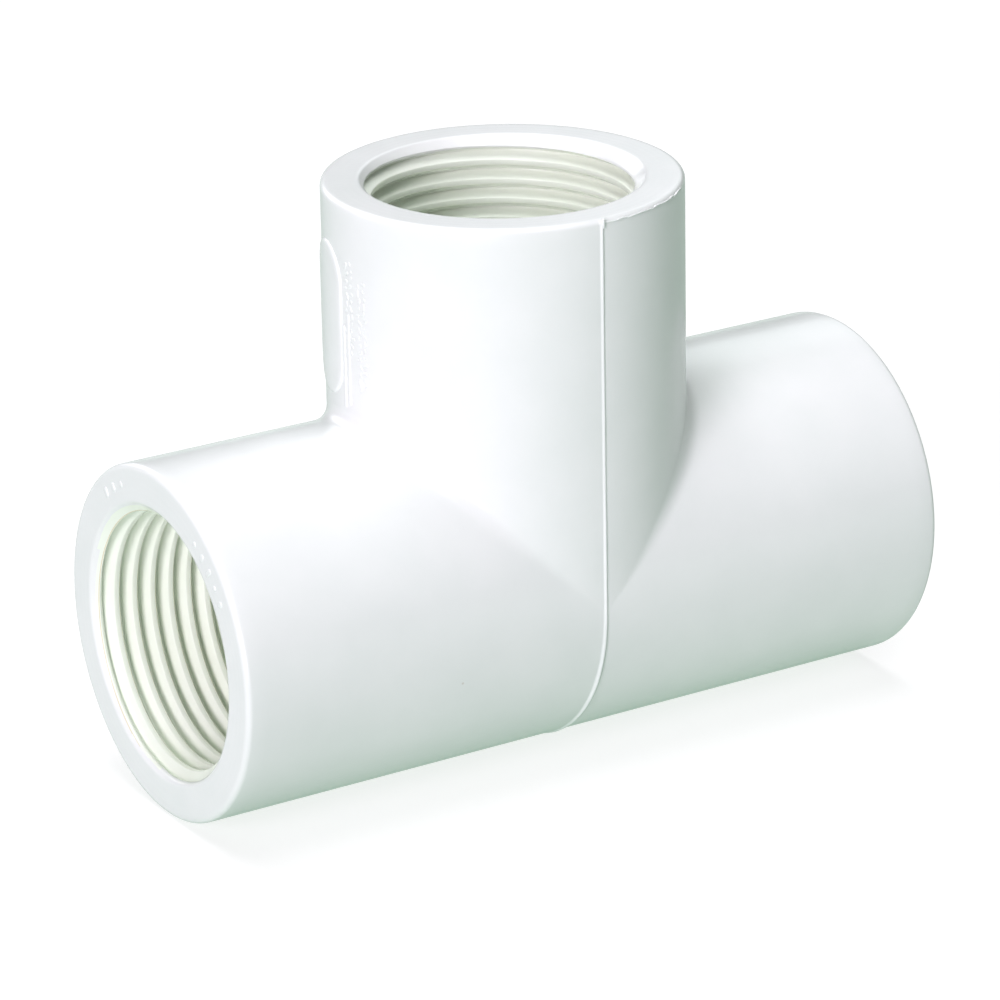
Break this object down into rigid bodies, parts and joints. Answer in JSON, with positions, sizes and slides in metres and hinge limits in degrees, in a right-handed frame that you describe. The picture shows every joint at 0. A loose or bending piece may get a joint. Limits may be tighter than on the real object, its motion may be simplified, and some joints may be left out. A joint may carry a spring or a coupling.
{
  "type": "pvc tee fitting",
  "caption": "White rigid PVC pipe tee, a straight run with a square branch, each mouth with an internal tapered pipe thread.",
  "frame": {"origin": "the point where the centre line of the run crosses the centre line of the branch", "axes": "+X along the run, +Z along the branch towards its mouth, +Y across both, in the direction that makes the frame right-handed"},
  "size_m": [0.0734, 0.0326, 0.0532],
  "materials": {
    "white_pvc": "as moulded, soft gloss"
  },
  "bodies": {
    "root": {"tee_body": "white_pvc"}
  },
  "joints": []
}
